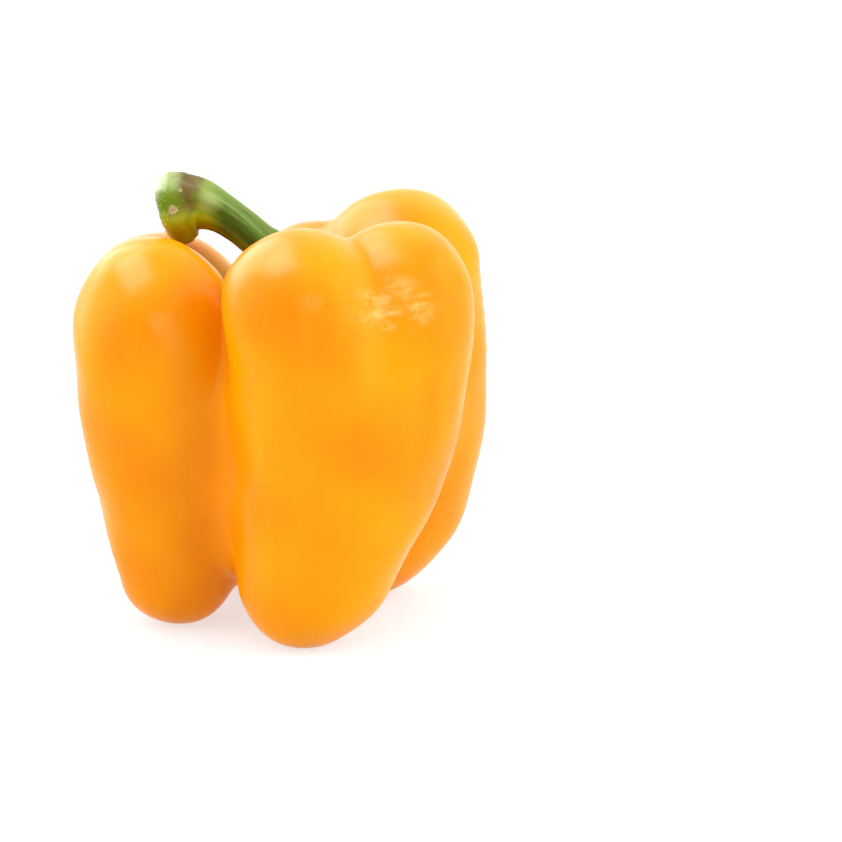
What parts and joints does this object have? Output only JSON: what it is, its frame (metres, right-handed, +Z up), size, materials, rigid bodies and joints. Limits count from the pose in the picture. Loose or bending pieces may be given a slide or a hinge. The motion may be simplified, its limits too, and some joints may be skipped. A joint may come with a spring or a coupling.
{
  "type": "bell pepper",
  "caption": "Standing yellow-orange bell pepper with furrowed, rounded lobes, a sunken crown, a small star-shaped calyx and a bent, ribbed green stem with a bulbous cut end.",
  "frame": {"origin": "bottom centre of the bounding box, on the plane that the feet of the lobes rest on", "axes": "+Z up, from the feet to the crown; -Y towards the picture's camera; the stem droops towards -X"},
  "size_m": [0.0934, 0.0838, 0.1004],
  "materials": {
    "fruit_skin": "smooth, waxy and glossy orange-yellow skin",
    "calyx_leaf": "satin, puckered green leaf tissue",
    "stem_skin": "satin, ribbed olive-green skin with a dry, corky cut end"
  },
  "bodies": {
    "root": {"fruit": "fruit_skin", "calyx": "calyx_leaf", "stem": "stem_skin"}
  },
  "joints": []
}
